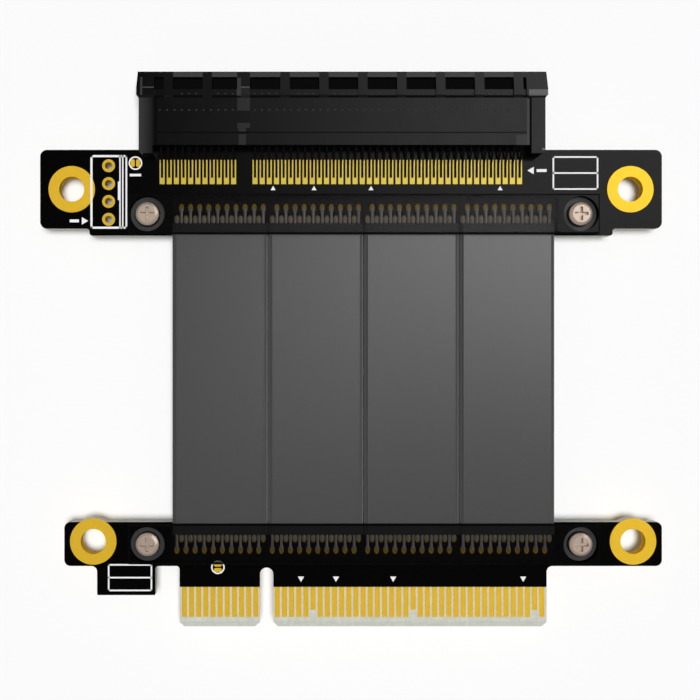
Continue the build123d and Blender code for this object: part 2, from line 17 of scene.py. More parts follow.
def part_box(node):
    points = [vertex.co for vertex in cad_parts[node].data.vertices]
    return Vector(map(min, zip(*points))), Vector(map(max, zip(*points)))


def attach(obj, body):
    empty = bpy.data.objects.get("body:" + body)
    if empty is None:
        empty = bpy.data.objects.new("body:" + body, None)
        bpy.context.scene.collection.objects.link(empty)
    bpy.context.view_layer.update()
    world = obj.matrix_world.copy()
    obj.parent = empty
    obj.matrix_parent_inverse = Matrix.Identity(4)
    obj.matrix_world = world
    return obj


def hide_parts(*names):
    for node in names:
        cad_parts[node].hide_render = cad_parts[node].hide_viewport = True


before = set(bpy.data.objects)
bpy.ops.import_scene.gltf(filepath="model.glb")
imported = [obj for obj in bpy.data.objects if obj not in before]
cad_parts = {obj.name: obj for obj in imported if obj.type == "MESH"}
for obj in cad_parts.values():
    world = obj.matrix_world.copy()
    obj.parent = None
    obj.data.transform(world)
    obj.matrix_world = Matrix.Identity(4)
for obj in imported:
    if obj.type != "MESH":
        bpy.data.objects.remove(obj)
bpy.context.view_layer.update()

# %% [markdown]
# ## Places that everything else refers to
# The boards set the heights: ink and pads lie on their upper faces. Each is read from the model,
# so this script follows when a board moves. Sizes of printed and soldered things are written in
# millimetres and turned into metres with one factor.

# %% Heights and middles
MM = 0.001
RIM_DEPTH = 3.6 * MM
# Where the painted sheen on the housing's left post is strongest, from the housing's end.
SHEEN_FROM_END = 0.3 * MM
BARE_MARGIN = 1.0 * MM
NOTCH_FROM_MIDDLE = 13.5 * MM
board_low, board_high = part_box("slot_board")
card_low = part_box("card_board")[0]
housing_low, housing_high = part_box("slot_housing")
fingers_low, fingers_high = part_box("edge_fingers_front")
ribbons_low, ribbons_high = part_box("ribbon_1")[0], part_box("ribbon_4")[1]
TOP = board_high.z
UNDER = board_low.z
SHEEN_END_X = housing_low.x + SHEEN_FROM_END
RIM_BACK_Y = housing_high.y - RIM_DEPTH
RIBBON_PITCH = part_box("ribbon_2")[0].x - ribbons_low.x
RIBBONS_LEFT_X = (ribbons_low.x + ribbons_high.x) / 2 - 2 * RIBBON_PITCH
FINGERS_TOP_Y = fingers_high.y
FINGERS_LEFT_X = fingers_low.x - BARE_MARGIN
NOTCH_X = (fingers_low.x + fingers_high.x) / 2 - NOTCH_FROM_MIDDLE
print("boards from", round(UNDER / MM, 2), "to", round(TOP / MM, 2), "mm above the floor")

# %% [markdown]
# ## Helpers for meshes
# A new piece starts as an empty bmesh, is shaped with operators, and becomes an object here.
# It gets its material and its slot, and rides on the object's one body. The object stays at the
# origin, and its place is in its mesh.

# %% From a bmesh to a piece
def new_object(name, bm):
    """An object with the mesh that a bmesh holds."""
    mesh = bpy.data.meshes.new(name)
    bm.to_mesh(mesh)
    bm.free()
    made = bpy.data.objects.new(name, mesh)
    bpy.context.scene.collection.objects.link(made)
    return made


def make_piece(name, bm, material, smooth_angle=None):
    """Turns a bmesh into a piece of the object that rides on its body."""
    piece = new_object(name, bm)
    piece.data.materials.append(material)
    if smooth_angle is not None:
        piece.data.polygons.foreach_set("use_smooth", [True] * len(piece.data.polygons))
        piece.data.set_sharp_from_angle(angle=math.radians(smooth_angle))
    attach(piece, "root")
    return piece


# %% Moving, spinning and a plain box
def move(bm, verts, x=0.0, y=0.0, z=0.0):
    """Moves these points of a bmesh."""
    bmesh.ops.translate(bm, verts=verts, vec=Vector((x, y, z)))


def spin(bm, geometry, x, y, angle, steps, rise=0.0, merge=False):
    """Spins a drawn outline round an upright axis, and raises it by this much a step."""
    bmesh.ops.spin(
        bm,
        geom=geometry,
        cent=Vector((x, y, 0.0)),
        axis=Vector((0.0, 0.0, 1.0)),
        dvec=Vector((0.0, 0.0, rise)),
        angle=angle,
        steps=steps,
        use_merge=merge,
    )


def plate(bm, x_from, x_to, y_from, y_to, z_from, z_to):
    """A thin box between two corners."""
    made = bmesh.ops.create_cube(bm, size=1.0)["verts"]
    bmesh.ops.scale(bm, verts=made, vec=Vector((x_to - x_from, y_to - y_from, z_to - z_from)))
    move(bm, made, (x_from + x_to) / 2, (y_from + y_to) / 2, (z_from + z_to) / 2)
    return made


# %% [markdown]
# ## Materials are small node trees
# Every finish starts from the same shader, and differs in its colour, its roughness and the fine
# relief that the surface has in the hand: a moulded grain, the weave of the laminate under its
# varnish, the satin of plated metal. The relief reads object coordinates, in metres, so its
# scale is a real one.

# %% A shader with its values
def grey_tone(value):
    """A colour with the same amount of red, green and blue."""
    return (value, value, value)


def new_finish(name, color, roughness, metallic=0.0, specular=0.5):
    """A material with these values, with its tree and shader."""
    material = bpy.data.materials.new(name)
    material.use_nodes = True
    tree = material.node_tree
    shader = tree.nodes["Principled BSDF"]
    shader.inputs["Base Color"].default_value = (*color, 1.0)
    shader.inputs["Roughness"].default_value = roughness
    shader.inputs["Metallic"].default_value = metallic
    shader.inputs["Specular IOR Level"].default_value = specular
    return material, tree, shader


def feed(tree, socket, value):
    """Gives a socket its value: a link from another socket, a colour or a number."""
    if isinstance(value, bpy.types.NodeSocket):
        tree.links.new(value, socket)
    elif isinstance(value, tuple):
        socket.default_value = (*value, 1.0)
    else:
        socket.default_value = value


# %% Where a point lies, and its grain
NOISE_RANGE = (0.3, 0.7)


def object_point(tree):
    """The point on the object, in metres."""
    return tree.nodes.new("ShaderNodeTexCoord").outputs["Object"]


def axes_of(tree, point):
    """The X, Y and Z of a point or a direction."""
    parts = tree.nodes.new("ShaderNodeSeparateXYZ")
    tree.links.new(point, parts.inputs["Vector"])
    return parts.outputs


def noise(tree, grain_mm, detail=2.0, stretch=(1.0, 1.0, 1.0)):
    """Noise whose grains are this many millimetres across."""
    mapping = tree.nodes.new("ShaderNodeMapping")
    mapping.inputs["Scale"].default_value = stretch
    texture = tree.nodes.new("ShaderNodeTexNoise")
    texture.inputs["Scale"].default_value = 1.0 / (grain_mm * MM)
    texture.inputs["Detail"].default_value = detail
    tree.links.new(object_point(tree), mapping.inputs["Vector"])
    tree.links.new(mapping.outputs["Vector"], texture.inputs["Vector"])
    return texture.outputs["Fac"]


def relief(tree, shader, height, depth_mm, strength):
    """Raises the surface by this height, through the shader's normal."""
    bump = tree.nodes.new("ShaderNodeBump")
    bump.inputs["Strength"].default_value = strength
    bump.inputs["Distance"].default_value = depth_mm * MM
    tree.links.new(height, bump.inputs["Height"])
    tree.links.new(bump.outputs["Normal"], shader.inputs["Normal"])


# %% Arithmetic between sockets
def blend(tree, factor, first, second):
    """Goes from one colour to another by the factor."""
    both = tree.nodes.new("ShaderNodeMix")
    both.data_type = "RGBA"
    for name, value in (("Factor", factor), ("A", first), ("B", second)):
        feed(tree, both.inputs[name], value)
    return both.outputs["Result"]


def curve(tree, factor, low, high, to_low=0.0, to_high=1.0, smooth=False):
    """Carries a factor from one range to another, with soft ends if it is smooth."""
    spread = tree.nodes.new("ShaderNodeMapRange")
    if smooth:
        spread.interpolation_type = "SMOOTHSTEP"
    spread.inputs["From Min"].default_value = low
    spread.inputs["From Max"].default_value = high
    spread.inputs["To Min"].default_value = to_low
    spread.inputs["To Max"].default_value = to_high
    tree.links.new(factor, spread.inputs["Value"])
    return spread.outputs["Result"]


def compare(tree, kind, first, second=0.0):
    """One step of arithmetic with sockets and numbers."""
    step = tree.nodes.new("ShaderNodeMath")
    step.operation = kind
    for socket, value in zip(step.inputs, (first, second)):
        feed(tree, socket, value)
    return step.outputs["Value"]


def grained(name, grey, roughness, specular, grain_mm, depth_mm=0.003, strength=0.4):
    """A grey finish with one fine grain all over."""
    material, tree, shader = new_finish(name, grey_tone(grey), roughness, specular=specular)
    relief(tree, shader, noise(tree, grain_mm), depth_mm, strength)
    return material


# %% [markdown]
# ## Black moulded plastic
# The slot's housing is glass-filled plastic from a polished tool. It is nearly black, with a
# satin face that shows a very fine grain only where light grazes it. Its left post is painted
# paler towards its outer end, a painted sheen, and some crests, corners and faces of the rim and
# the heel carry painted highlights in a paler grey. Each painted highlight is a rectangle in the
# plan: its material compares the point's x and y with the rectangle's sides.

# %% Painted highlights: left, right, near and far side in millimetres, and the grey
PAINTED_HIGHLIGHTS = (
    (-29.1, -28.8, 35.2, 37.7, 0.04),
    (-28.84, -27.2, 36.17, 36.33, 0.06),
    (-15.9, -15.3, 35.1, 37.6, 0.035),
    (-15.3, -14.1, 36.17, 36.33, 0.08),
    (-15.3, -14.1, 34.9, 36.1, 0.012),
    (24.15, 28.0, 35.1, 35.95, 0.09),
    (22.5, 23.9, 28.3, 29.8, 0.02),
    (26.0, 26.5, 27.66, 27.98, 0.1),
)


def patch(tree, place, left, right, near, far):
    """One inside this rectangle of the plan, and nought outside it."""
    inside = compare(tree, "GREATER_THAN", place["X"], left * MM)
    others = (("LESS_THAN", "X", right), ("GREATER_THAN", "Y", near), ("LESS_THAN", "Y", far))
    for kind, axis, limit in others:
        inside = compare(tree, "MULTIPLY", inside, compare(tree, kind, place[axis], limit * MM))
    return inside


# %% Moulding
HOUSING_GREYS = (0.0025, 0.0045)
HOUSING_ROUGHNESS = (0.17, 0.23)
# Painted sheen on the left post: its grey, and how far it fades.
SHEEN_GREY = 0.04
SHEEN_REACH = 2.2 * MM


def moulded_black():
    """Satin black plastic with a fine grain, with a painted sheen and painted highlights in places."""
    dark, light = (grey_tone(value) for value in HOUSING_GREYS)
    material, tree, shader = new_finish("moulded_black", light, HOUSING_ROUGHNESS[1], specular=0.17)
    grain = noise(tree, grain_mm=0.16, detail=3.0)
    face = blend(tree, grain, dark, light)
    place = axes_of(tree, object_point(tree))
    # Painted sheen: paler towards the left post's outer end, only in front of the rim's back.
    painted_sheen = curve(tree, place["X"], SHEEN_END_X, SHEEN_END_X + SHEEN_REACH, 1.0, 0.0)
    behind_rim = compare(tree, "LESS_THAN", place["Y"], RIM_BACK_Y)
    face = blend(tree, compare(tree, "MULTIPLY", painted_sheen, behind_rim), face, grey_tone(SHEEN_GREY))
    # Painted highlights on crests, corners and faces, each a rectangle of paler grey.
    for left, right, near, far, grey in PAINTED_HIGHLIGHTS:
        face = blend(tree, patch(tree, place, left, right, near, far), face, grey_tone(grey))
    feed(tree, shader.inputs["Base Color"], face)
    uneven = curve(tree, noise(tree, grain_mm=2.5), *NOISE_RANGE, *HOUSING_ROUGHNESS)
    feed(tree, shader.inputs["Roughness"], uneven)
    relief(tree, shader, grain, depth_mm=0.004, strength=0.5)
    return material


# %% [markdown]
# ## A board is three surfaces in one solid
# Both faces of a board carry black varnish. Its cut sides show the bare laminate, a pale
# greenish grey with layers of glass cloth. The card edge has no varnish round its fingers
# either, so there the laminate shows from above. One material tells them apart: by which way
# the surface faces, and by two lines in the card board's plan where the varnish ends.

# %% Varnish and laminate
LAMINATE = (0.62, 0.63, 0.555)
LAMINATE_ROUGHNESS = 0.6
VARNISH = (0.0012, 0.0012, 0.0011)
VARNISH_ROUGHNESS = 0.16
FLAT_FACE = 0.9
CLOTH_MM = 0.5
CLOTH_RANGE = (0.1, 0.4)


def scaled(color, factor):
    """A colour made darker or lighter by this factor."""
    return tuple(v * factor for v in color)


def board_finish(name, bare_below=None, bare_from_x=None):
    """Varnished faces and bare sides; a corner of the plan can be bare as well."""
    material, tree, shader = new_finish(name, VARNISH, VARNISH_ROUGHNESS, specular=0.12)
    geometry = tree.nodes.new("ShaderNodeNewGeometry")
    up = compare(tree, "ABSOLUTE", axes_of(tree, geometry.outputs["True Normal"])["Z"])
    varnished = compare(tree, "GREATER_THAN", up, FLAT_FACE)
    if bare_below is not None:
        place = axes_of(tree, object_point(tree))
        below = compare(tree, "LESS_THAN", place["Y"], bare_below)
        beyond = compare(tree, "GREATER_THAN", place["X"], bare_from_x)
        bare_corner = compare(tree, "MULTIPLY", below, beyond)
        varnished = compare(tree, "MULTIPLY", varnished, compare(tree, "SUBTRACT", 1.0, bare_corner))
    warp = noise(tree, CLOTH_MM, stretch=(1.0, 0.25, 1.0))
    weft = noise(tree, CLOTH_MM, stretch=(0.25, 1.0, 1.0))
    cloth = compare(tree, "MULTIPLY", warp, weft)
    bare = blend(tree, curve(tree, cloth, *CLOTH_RANGE), scaled(LAMINATE, 0.86), LAMINATE)
    coat = blend(tree, noise(tree, grain_mm=0.4), VARNISH, scaled(VARNISH, 1.8))
    feed(tree, shader.inputs["Base Color"], blend(tree, varnished, bare, coat))
    satin = curve(tree, varnished, 0.0, 1.0, LAMINATE_ROUGHNESS, VARNISH_ROUGHNESS)
    feed(tree, shader.inputs["Roughness"], satin)
    relief(tree, shader, cloth, depth_mm=0.006, strength=0.35)
    return material


# %% [markdown]
# ## Plated metal
# Pads and fingers are copper with a thin gold plating. Electroless plating is satin rather than
# mirror bright, and slightly uneven from pad to pad. Down a plated hole the gold is painted
# deeper and duller, and not metallic: painted shade where little light reaches. Screws are
# nickel plated and warm in tone, and the wires' ends are dull with solder.

# %% Gold, nickel, tin and the dark spring strip
METAL_GRAIN_MM = 0.25
SATIN_SPREAD = 0.08
GOLD = (0.95, 0.59, 0.042)
GOLD_ROUGHNESS = 0.4
GOLD_METALLIC = 0.35
HOLE_LIP = 0.01 * MM


def metal(name, color, roughness, metallic=1.0, specular=0.5):
    """Metal with a soft satin that varies over its surface."""
    material, tree, shader = new_finish(name, color, roughness, metallic, specular)
    grain = noise(tree, METAL_GRAIN_MM, detail=3.0)
    feed(tree, shader.inputs["Base Color"], blend(tree, grain, scaled(color, 0.9), color))
    satin = curve(tree, grain, *NOISE_RANGE, roughness - SATIN_SPREAD, roughness + SATIN_SPREAD)
    feed(tree, shader.inputs["Roughness"], satin)
    relief(tree, shader, grain, depth_mm=0.003, strength=0.4)
    return material


def plated_hole(name, color, inside):
    """Gold on the land, and painted shade down the hole: a deeper and duller gold."""
    material = metal(name, color, GOLD_ROUGHNESS, GOLD_METALLIC, specular=0.0)
    tree = material.node_tree
    shader = tree.nodes["Principled BSDF"]
    height = axes_of(tree, object_point(tree))["Z"]
    below = compare(tree, "LESS_THAN", height, TOP - HOLE_LIP)
    above = compare(tree, "GREATER_THAN", height, UNDER + HOLE_LIP)
    shaded_wall = compare(tree, "MULTIPLY", below, above)
    land = shader.inputs["Base Color"].links[0].from_socket
    # Painted shade: the hole's wall is a deeper, duller gold and not metallic.
    feed(tree, shader.inputs["Base Color"], blend(tree, shaded_wall, land, inside))
    feed(tree, shader.inputs["Metallic"], curve(tree, shaded_wall, 0.0, 1.0, GOLD_METALLIC, 0.0))
    return material


# %% [markdown]
# ## Ribbon insulation
# Each ribbon is twenty strands side by side in soft grey plastic. Its face is nearly flat, with
# a shallow furrow between the strands, which a low wave across the ribbon gives. The thin
# margins at its sides are matt, and darker with painted shade. Along one edge of each ribbon a
# pale hairline is a painted highlight. A place across a ribbon and its gap counts from nought to
# one, and margin and hairline are parts of that.

# %% Ribbon
STRAND_PITCH = 0.635 * MM
RIBBON_GREYS = (0.064, 0.068)
RIBBON_ROUGHNESS = 0.2
RIBBON_MIDDLE = 0.506
MARGIN_RANGE = (0.456, 0.46)
# Painted shade on the margins; their roughness is matt.
MARGIN_SHADE_GREY = 0.05
MARGIN_ROUGHNESS = 0.9
# Painted highlight: a pale hairline along one edge of each ribbon.
EDGE_HIGHLIGHT_FROM = 0.985
EDGE_HIGHLIGHT_GREY = 0.105


def ribbon_finish():
    """Satin grey insulation with a faint furrow between its strands."""
    dark, light = (grey_tone(value) for value in RIBBON_GREYS)
    material, tree, shader = new_finish("ribbon_grey", light, RIBBON_ROUGHNESS, specular=0.7)
    across = axes_of(tree, object_point(tree))["X"]
    wave = compare(tree, "SINE", compare(tree, "MULTIPLY", across, math.pi / STRAND_PITCH))
    relief(tree, shader, compare(tree, "ABSOLUTE", wave), depth_mm=0.012, strength=0.1)
    face = blend(tree, noise(tree, grain_mm=1.2, detail=3.0), dark, light)
    from_first = compare(tree, "SUBTRACT", across, RIBBONS_LEFT_X)
    turn = compare(tree, "FRACT", compare(tree, "DIVIDE", from_first, RIBBON_PITCH))
    off_middle = compare(tree, "ABSOLUTE", compare(tree, "SUBTRACT", turn, RIBBON_MIDDLE))
    margin = curve(tree, off_middle, *MARGIN_RANGE)
    # Painted highlight along the ribbon's edge.
    edge_highlight = compare(tree, "GREATER_THAN", turn, EDGE_HIGHLIGHT_FROM)
    # Painted shade on the margins.
    face = blend(tree, margin, face, grey_tone(MARGIN_SHADE_GREY))
    feed(tree, shader.inputs["Base Color"], blend(tree, edge_highlight, face, grey_tone(EDGE_HIGHLIGHT_GREY)))
    satin = curve(tree, margin, 0.0, 1.0, RIBBON_ROUGHNESS, MARGIN_ROUGHNESS)
    feed(tree, shader.inputs["Roughness"], satin)
    return material


# %% [markdown]
# ## Smoked clear plastic
# Through the covers the pads and wires show at about a tenth of their brightness, and stay
# sharp. Light crosses the cover's two faces on its way down and again on its way up, so each
# face only has to hold back a little under a half. Real refraction would put everything under
# the cover in shadow, so the finish is a dark, glossy film that lets the rest straight through.
# Along a side the light has much more plastic to cross, so the sides and their narrow chamfers
# are a second film, almost black and without gloss.

# %% Smoke
def smoked_film(name, alpha, roughness, specular, grey):
    """A dark film that passes part of the light straight on."""
    material, tree, shader = new_finish(name, (grey, grey, 1.1 * grey), roughness, specular=specular)
    shader.inputs["Alpha"].default_value = alpha
    relief(tree, shader, noise(tree, grain_mm=4.0, detail=1.0), depth_mm=0.001, strength=0.02)
    return material


# %% [markdown]
# ## Give the solid pieces their finish
# One table pairs each finish with the pieces that have it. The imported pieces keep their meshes,
# and only their material slots change.

# %% Finish by piece
gold = metal("plated_gold", GOLD, GOLD_ROUGHNESS, GOLD_METALLIC)
pad_gold = metal("pad_gold", (0.74, 0.555, 0.08), GOLD_ROUGHNESS, GOLD_METALLIC)
# inside is the painted shade down the holes.
land_gold = plated_hole("land_gold", GOLD, inside=(0.8, 0.47, 0.03))
small_land_gold = plated_hole("small_land_gold", (0.82, 0.54, 0.055), inside=(0.7, 0.41, 0.025))
dark_strip = metal("dark_strip", grey_tone(0.003), 0.7, metallic=0.0, specular=0.1)
washer_grey = metal("washer_grey", grey_tone(0.038), 0.5, metallic=0.1)
nickel = metal("warm_nickel", (0.58, 0.46, 0.37), 0.33, metallic=0.4)
nut_nickel = metal("nut_nickel", (0.5, 0.48, 0.46), 0.35)
solder = metal("solder_grey", (0.74, 0.74, 0.8), 0.36, metallic=0.5)
finishes = (
    (moulded_black(), ("slot_housing",)),
    (dark_strip, ("slot_contacts_front", "slot_contacts_back")),
    (board_finish("slot_board_varnish"), ("slot_board",)),
    (board_finish("card_board_varnish", FINGERS_TOP_Y, FINGERS_LEFT_X), ("card_board",)),
    (pad_gold, ("slot_pads_front", "slot_pads_back")),
    (gold, ("edge_fingers_front", "edge_fingers_back", "test_pads")),
    (land_gold, ("slot_board_mount_lands", "card_board_mount_lands")),
    (small_land_gold, ("header_lands",)),
    (washer_grey, ("slot_washers", "card_washers")),
    (nut_nickel, ("slot_nuts", "card_nuts")),
    (nickel, ("slot_screws", "card_screws")),
    (ribbon_finish(), ("ribbon_1", "ribbon_2", "ribbon_3", "ribbon_4")),
)
for finish, node_names in finishes:
    for node_name in node_names:
        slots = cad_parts[node_name].data.materials
        slots.clear()
        slots.append(finish)
    print(finish.name, "on", ", ".join(node_names))

# %% [markdown]
# ## Covers that don't quite touch
# A packed cover rests on the board and on the ribbons, face on face. Behind clear plastic that
# would flicker, because two surfaces in one place are seen by turns. The covers are therefore
# copies whose lower faces are lifted by a few hundredths of a millimetre. Beyond the ribbons a
# cover hides only bare board, so the film there lets no light through.

# %% Smoked covers
LIFT = 0.03 * MM
END_GAP = 0.3 * MM
JOINED = 0.001 * MM
SIDE_FILM = 1
END_FILM = 2


def smoked_cover(node_name, face_film, side_film, end_film):
    """A copy of a packed cover, lifted below, with other films on its sides and its two ends."""
    bm = bmesh.new()
    bm.from_mesh(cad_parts[node_name].data)
    bmesh.ops.remove_doubles(bm, verts=bm.verts, dist=JOINED)
    cover_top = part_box(node_name)[1].z
    lower = [v for v in bm.verts if v.co.z < cover_top - 2 * LIFT]
    move(bm, lower, z=LIFT)
    bm.normal_update()
    left, right = ribbons_low.x - END_GAP, ribbons_high.x + END_GAP
    for x in (left, right):
        everything = [*bm.verts, *bm.edges, *bm.faces]
        bmesh.ops.bisect_plane(bm, geom=everything, plane_co=(x, 0, 0), plane_no=(1, 0, 0))
    sides = [f for f in bm.faces if abs(f.normal.z) < FLAT_FACE]
    for side in sides:
        side.material_index = SIDE_FILM
    for face in bm.faces:
        if face.normal.z > FLAT_FACE and not left < face.calc_center_median().x < right:
            face.material_index = END_FILM
    print(node_name, "lifted points:", len(lower), "side faces:", len(sides))
    piece = make_piece(f"{node_name}_smoked", bm, face_film)
    piece.data.materials.append(side_film)
    piece.data.materials.append(end_film)
    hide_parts(node_name)


smoke_face = smoked_film("smoked_clear", alpha=0.44, roughness=0.2, specular=0.25, grey=0.004)
smoke_side = smoked_film("smoked_side", alpha=0.92, roughness=0.8, specular=0.0, grey=0.005)
smoke_end = smoked_film("smoked_end", alpha=1.0, roughness=0.2, specular=0.13, grey=0.0015)
for cover in ("slot_cover", "card_cover"):
    smoked_cover(cover, smoke_face, smoke_side, smoke_end)

# %% [markdown]
# ## Rounded screw heads
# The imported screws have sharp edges, and a cold-formed head has none. A Bevel modifier rounds
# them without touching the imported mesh. The mesh is loose triangles, so a Weld modifier joins
# them first, and the bevel only takes edges that turn sharply.

# %% Soften the heads
HEAD_ROUNDING = 0.07 * MM
SHARP_DEGREES = 40


def soften(node_name):
    """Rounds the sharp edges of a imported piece."""
    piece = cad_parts[node_name]
    weld = piece.modifiers.new("joined", "WELD")
    weld.merge_threshold = JOINED
    edge = piece.modifiers.new("rounded", "BEVEL")
    edge.width = HEAD_ROUNDING
    edge.segments = 3
    edge.limit_method = "ANGLE"
    edge.angle_limit = math.radians(SHARP_DEGREES)
    edge.use_clamp_overlap = True
    print("rounded", node_name)


for screws in ("slot_screws", "card_screws"):
    soften(screws)

# %% [markdown]
# ## Spring washers round the heads
# A split ring lies round each head, on the plain washer, and its near-black is painted shade at
# the foot of the head. Its outline is drawn once, as a small upright rectangle beside the head,
# and spun almost all the way round, which leaves the split.

# %% Spring washers
RING_INNER = 1.61 * MM
RING_OUTER = 1.73 * MM
RING_HEIGHT = 0.25 * MM
RING_STEPS = 40
SPLIT_DEGREES = 12


def screw_places(screws):
    """The middle of each head in a pair of screws, in the plan."""
    low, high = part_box(screws)
    y, head_r = (low.y + high.y) / 2, (high.y - low.y) / 2
    return [(x, y) for x in (low.x + head_r, high.x - head_r)]


def spring_washers():
    """The four split rings."""
    bm = bmesh.new()
    for screws, washers in (("slot_screws", "slot_washers"), ("card_screws", "card_washers")):
        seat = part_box(washers)[1].z
        top = seat + RING_HEIGHT
        outline = ((RING_INNER, seat), (RING_OUTER, seat), (RING_OUTER, top), (RING_INNER, top))
        for x, y in screw_places(screws):
            section = bm.faces.new([bm.verts.new((x + r, y, z)) for r, z in outline])
            spin(bm, [section], x, y, math.radians(360 - SPLIT_DEGREES), RING_STEPS)
    bmesh.ops.recalc_face_normals(bm, faces=bm.faces)
    # The ring's near-black is painted shade at the foot of each head.
    piece = make_piece("spring_washers", bm, dark_strip, SHARP_DEGREES)
    print("spring washer faces:", len(piece.data.polygons))


spring_washers()

# %% [markdown]
# ## Oval pads with soldered wires
# Each ribbon ends in twenty stripped wires, which are soldered to two staggered rows of pads.
# A pad is an oval of plated copper. A disc stretched to an oval and extruded upwards gives it,
# and the same recipe with a round end gives the wire: a ring of points is carried along the
# wire, and the last rings draw in, so that the end is rounded like a drop of solder.

# %% Sizes of pads and wires, and the wire's rings: millimetres from its tip, and the ring's size
PAD_HALF_X = 0.36 * MM
PAD_HALF_Y = 0.6 * MM
PAD_HEIGHT = 0.06 * MM
WIRE_HALF_X = 0.2 * MM
WIRE_HALF_Z = 0.13 * MM
NEAR_PAD_Y = 0.57 * MM
FAR_PAD_Y = 2.17 * MM
SHORT_TAIL = 0.95 * MM
LONG_TAIL = 2.2 * MM
WIRES = 20
WIRE_PITCH = RIBBON_PITCH / (WIRES + 1)
WIRE_RINGS = ((0.75, 1.0), (0.35, 1.15), (0.12, 0.9), (0.0, 0.35))


def extrude(bm, face):
    """Extrudes a face in place, and gives its new points and the new face."""
    made = bmesh.ops.extrude_face_region(bm, geom=[face])["geom"]
    points = [v for v in made if isinstance(v, bmesh.types.BMVert)]
    return points, next(f for f in made if isinstance(f, bmesh.types.BMFace))


# %% Pads and wires
def oval_pad(bm, x, y):
    """An oval pad that stands on the board."""
    made = bmesh.ops.create_circle(bm, cap_ends=True, segments=14, radius=1.0)["verts"]
    bmesh.ops.scale(bm, verts=made, vec=Vector((PAD_HALF_X, PAD_HALF_Y, 1.0)))
    move(bm, made, x, y, TOP)
    raised, _ = extrude(bm, made[0].link_faces[0])
    move(bm, raised, z=PAD_HEIGHT)


def soldered_wire(bm, x, start_y, way, tail):
    """An oval wire from the ribbon's end to a rounded end on its pad."""
    ring = bmesh.ops.create_circle(bm, cap_ends=True, segments=10, radius=1.0)["verts"]
    upright = Matrix.Rotation(math.radians(90), 3, "X")
    bmesh.ops.rotate(bm, verts=ring, cent=Vector(), matrix=upright)
    bmesh.ops.scale(bm, verts=ring, vec=Vector((WIRE_HALF_X, 1.0, WIRE_HALF_Z)))
    middle_z = TOP + PAD_HEIGHT + WIRE_HALF_Z
    move(bm, ring, x, start_y, middle_z)
    face = ring[0].link_faces[0]
    at_y, at_size = start_y, 1.0
    for from_tip, size in WIRE_RINGS:
        tip, face = extrude(bm, face)
        goal = start_y + way * (tail - from_tip * MM)
        move(bm, tip, y=goal - at_y)
        centre = Matrix.Translation(Vector((-x, -goal, -middle_z)))
        grow = size / at_size
        bmesh.ops.scale(bm, verts=tip, vec=Vector((grow, 1.0, grow)), space=centre)
        at_y, at_size = goal, size


def solder_end(name, start_y, way, near_first):
    """All pads and wires at one end of the ribbons; near_first gives which wires are short."""
    pads, wires = bmesh.new(), bmesh.new()
    for ribbon in range(4):
        for number in range(1, WIRES + 1):
            x = RIBBONS_LEFT_X + ribbon * RIBBON_PITCH + number * WIRE_PITCH
            near = number % 2 == near_first
            oval_pad(pads, x, start_y + way * (NEAR_PAD_Y if near else FAR_PAD_Y))
            soldered_wire(wires, x, start_y, way, SHORT_TAIL if near else LONG_TAIL)
    for bm in (pads, wires):
        bmesh.ops.recalc_face_normals(bm, faces=bm.faces)
    pad_piece = make_piece(f"{name}_oval_pads", pads, gold, 40)
    wire_piece = make_piece(f"{name}_soldered_wires", wires, solder, 50)
    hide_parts(f"{name}_board_solder_pads")
    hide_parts(f"{name}_end_wires")
    faces = len(pad_piece.data.polygons), len(wire_piece.data.polygons)
    print(name, "end:", faces[0], "pad faces,", faces[1], "wire faces")


solder_end("slot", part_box("ribbon_1")[1].y, way=1, near_first=1)
solder_end("card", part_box("ribbon_1")[0].y, way=-1, near_first=0)

# %% [markdown]
# ## Threads below the nuts
# The screws stand out below the nuts, so their thread shows from the side and from under the
# board. One V of the thread is drawn beside the screw and spun round it, rising by one pitch a
# turn: a spin with a step along the axis is a helix.

# %% Threads
THREAD_PITCH = 0.4 * MM
THREAD_DEPTH = 0.12 * MM
THREAD_HALF = 0.17 * MM
THREAD_R = 1.1 * MM
THREAD_STEPS = 24
TIP_GAP = 0.25 * MM
NUT_GAP = 0.1 * MM
RIDGE_SKIN = 0.05 * MM


def thread(bm, x, y, z_from, z_to):
    """A helical ridge on a screw."""
    inner = THREAD_R - THREAD_DEPTH
    outline = ((inner, -THREAD_HALF), (THREAD_R, 0.0), (inner, THREAD_HALF))
    profile = [bm.verts.new((x + r, y, z_from + z)) for r, z in outline]
    edges = [bm.edges.new((profile[i], profile[i + 1])) for i in range(2)]
    turns = (z_to - z_from) / THREAD_PITCH
    steps = int(THREAD_STEPS * turns)
    spin(bm, profile + edges, x, y, 2 * math.pi * turns, steps, rise=(z_to - z_from) / steps)


def screw_threads():
    """The visible thread of the four screws."""
    bm = bmesh.new()
    for screws, nuts in (("slot_screws", "slot_nuts"), ("card_screws", "card_nuts")):
        tip_z, nut_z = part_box(screws)[0].z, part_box(nuts)[0].z
        for x, y in screw_places(screws):
            thread(bm, x, y, tip_z + TIP_GAP, nut_z - NUT_GAP)
    bmesh.ops.recalc_face_normals(bm, faces=bm.faces)
    piece = make_piece("screw_threads", bm, nickel)
    solid = piece.modifiers.new("ridge", "SOLIDIFY")
    solid.thickness = RIDGE_SKIN
    solid.offset = -1.0
    print("thread faces:", len(piece.data.polygons))


screw_threads()

# %% [markdown]
# ## The rim's windows
# Daylight doesn't reach into the windows of the slot's rim, and the faces inside them come from
# spark-eroded steel, so they are matt. Their floors, and a line behind the ledges, are thin skins
# of painted shade, blacker than the polished outside. The lip in front of each window is a narrow
# chamfer with a painted highlight, a paler grey. Both are thin skins on the packed housing, on
# its upper and lower side.

